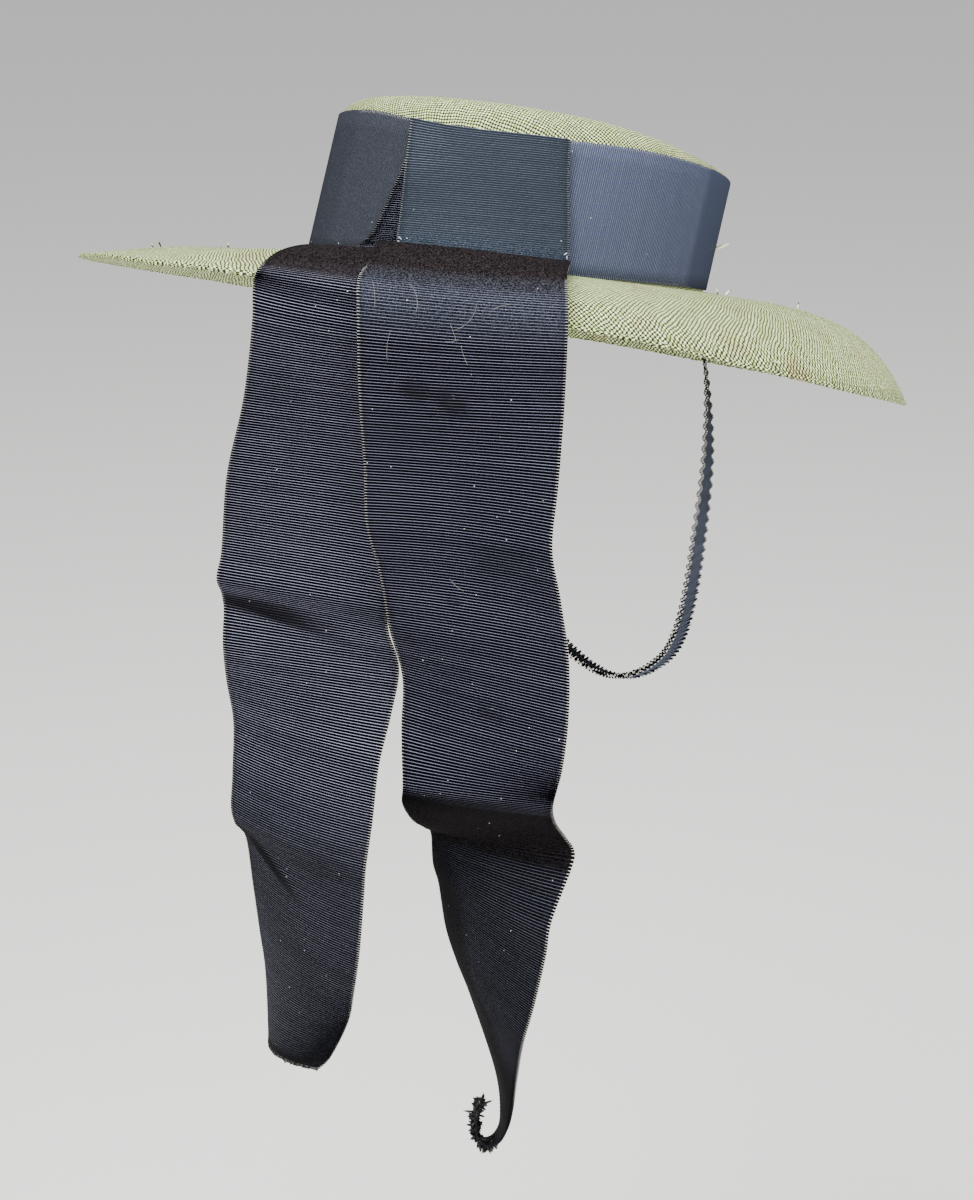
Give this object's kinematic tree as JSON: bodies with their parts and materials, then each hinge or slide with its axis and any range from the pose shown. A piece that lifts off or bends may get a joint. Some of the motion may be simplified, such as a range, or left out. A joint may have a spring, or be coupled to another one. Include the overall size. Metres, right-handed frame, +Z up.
{
  "type": "tilt hat",
  "caption": "Straw tilt hat with a low flat crown, a wide rolled brim, a ribbed ribbon band, long ribbon streamers that fall from the back, and a ruffled chin ribbon.",
  "frame": {"origin": "middle of the head opening where the head holds the hat, level with the brim's seam", "axes": "+Z is up with the hat worn, tipped 19 degrees forward; the wearer looks along -Y; +X is the wearer's left"},
  "size_m": [0.3282, 0.3272, 0.381],
  "materials": {
    "natural_straw": "matte woven straw",
    "navy_grosgrain": "ribbed, low sheen"
  },
  "bodies": {
    "root": {"crown": "natural_straw", "brim": "natural_straw", "band": "navy_grosgrain", "streamer_left": "navy_grosgrain", "streamer_right": "navy_grosgrain", "chin_ribbon": "navy_grosgrain", "straw_tab": "natural_straw"}
  },
  "joints": []
}
